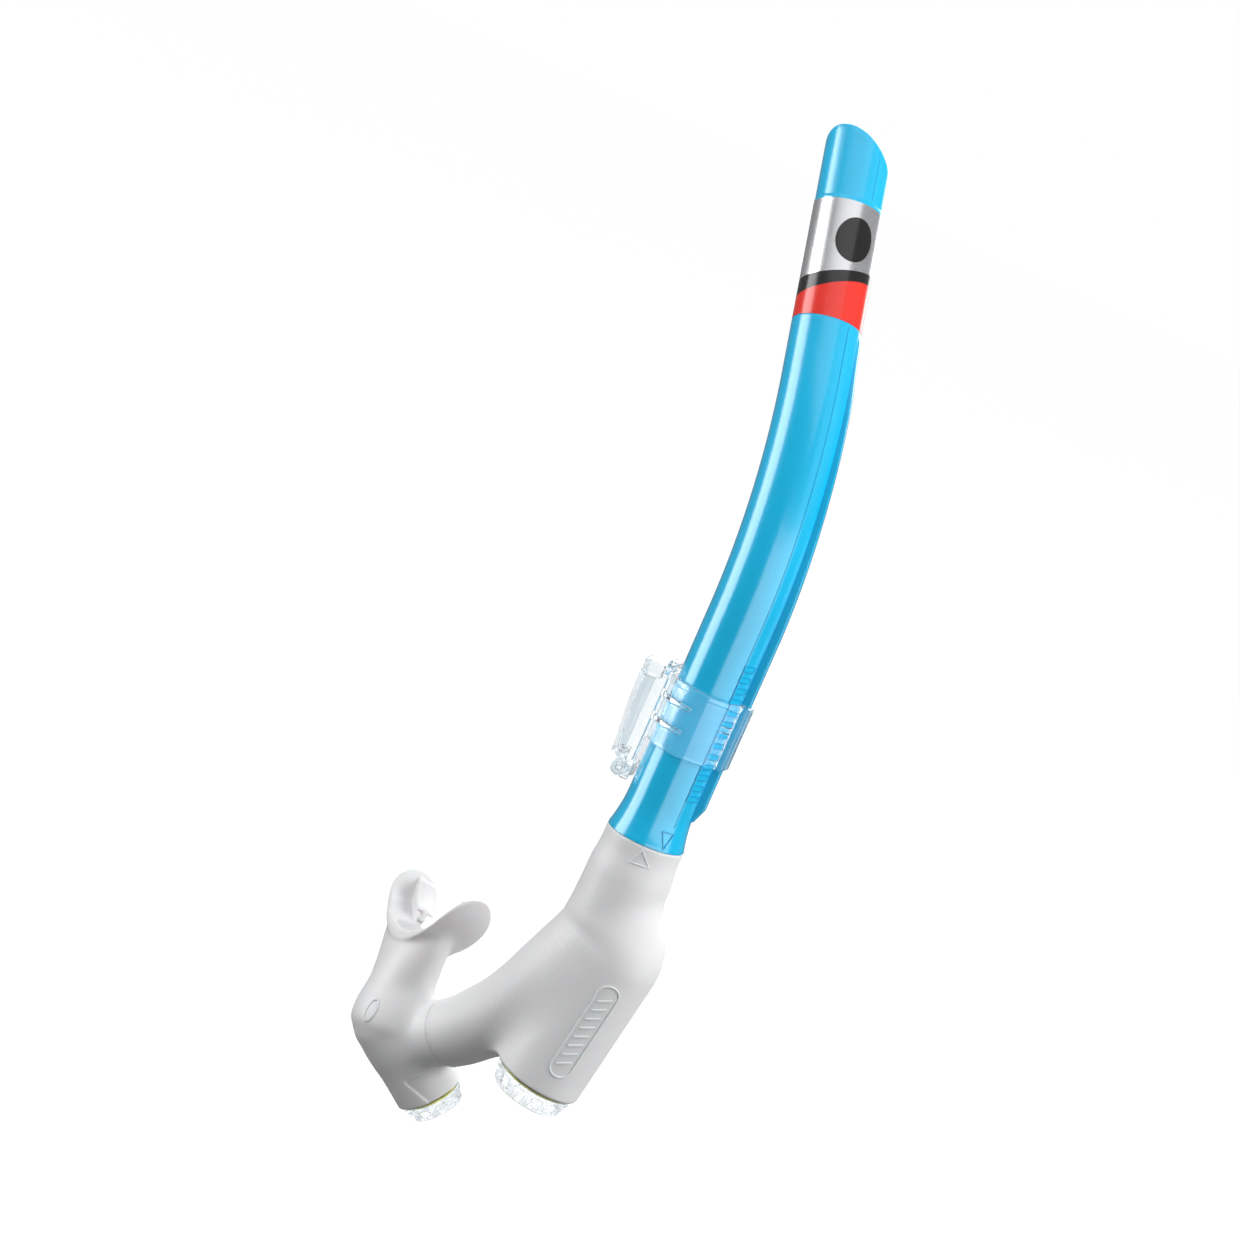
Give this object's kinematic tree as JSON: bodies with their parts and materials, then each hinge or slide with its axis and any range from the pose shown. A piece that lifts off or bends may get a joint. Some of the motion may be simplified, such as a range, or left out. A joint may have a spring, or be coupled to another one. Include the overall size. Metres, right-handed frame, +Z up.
{
  "type": "snorkel",
  "caption": "Snorkel with a bent barrel, sliding mask-strap clip, purge chamber, swivelling elbow with a mouthpiece, and two one-way purge valves.",
  "frame": {"origin": "centre of the strap slot, between the clip's base and its lever", "axes": "+Z up the barrel's straight lower stretch, the clip's buckle on -X, the barrel's spine rail on +X, and the strap runs along Y"},
  "size_m": [0.1306, 0.0832, 0.4512],
  "materials": {
    "blue_plastic": "glossy",
    "printed_film": "glossy",
    "clear_plastic": "clear, polished",
    "white_silicone": "matte",
    "white_plastic": "satin",
    "yellow_silicone": "satin"
  },
  "bodies": {
    "clip": {"clip_holder": "clear_plastic", "clip_hinge_pin": "clear_plastic"},
    "lever": {"clip_lever": "clear_plastic"},
    "barrel": {"tube": "blue_plastic", "decal_band": "printed_film"},
    "chamber": {"chamber_shell": "white_silicone", "chamber_valve_seat": "clear_plastic", "chamber_valve_cap": "clear_plastic", "swivel_connector": "white_plastic"},
    "chamber_valve": {"chamber_valve_disc": "yellow_silicone"},
    "mouthpiece": {"elbow_shell": "white_silicone", "elbow_valve_seat": "clear_plastic", "elbow_valve_cap": "clear_plastic"},
    "elbow_valve": {"elbow_valve_disc": "yellow_silicone"}
  },
  "joints": [
    {"name": "barrel_slide", "type": "slide", "parent": "clip", "child": "barrel", "axis": [0, 0, 1], "range_m": [-0.02, 0.012]},
    {"name": "lever_hinge", "type": "hinge", "parent": "clip", "child": "lever", "pos_m": [-0.0005, 0, -0.022], "axis": [0, -1, 0], "range_deg": [0, 100]},
    {"name": "neck_swivel", "type": "hinge", "parent": "barrel", "child": "chamber", "pos_m": [0.0199, 0, -0.044], "axis": [0, 0, 1], "continuous": true},
    {"name": "mouthpiece_swivel", "type": "hinge", "parent": "chamber", "child": "mouthpiece", "pos_m": [-0.0272, 0.01911, -0.16006], "axis": [0.7487, -0.3039, 0.5891], "continuous": true},
    {"name": "chamber_valve_lift", "type": "slide", "parent": "chamber", "child": "chamber_valve", "axis": [-0.165, 0, -0.9863], "range_m": [0, 0.0015], "stiffness_N_per_m": 60, "springref_m": -0.001},
    {"name": "elbow_valve_lift", "type": "slide", "parent": "mouthpiece", "child": "elbow_valve", "axis": [0.692, 0.2678, -0.6704], "range_m": [0, 0.0015], "stiffness_N_per_m": 40, "springref_m": -0.001}
  ]
}
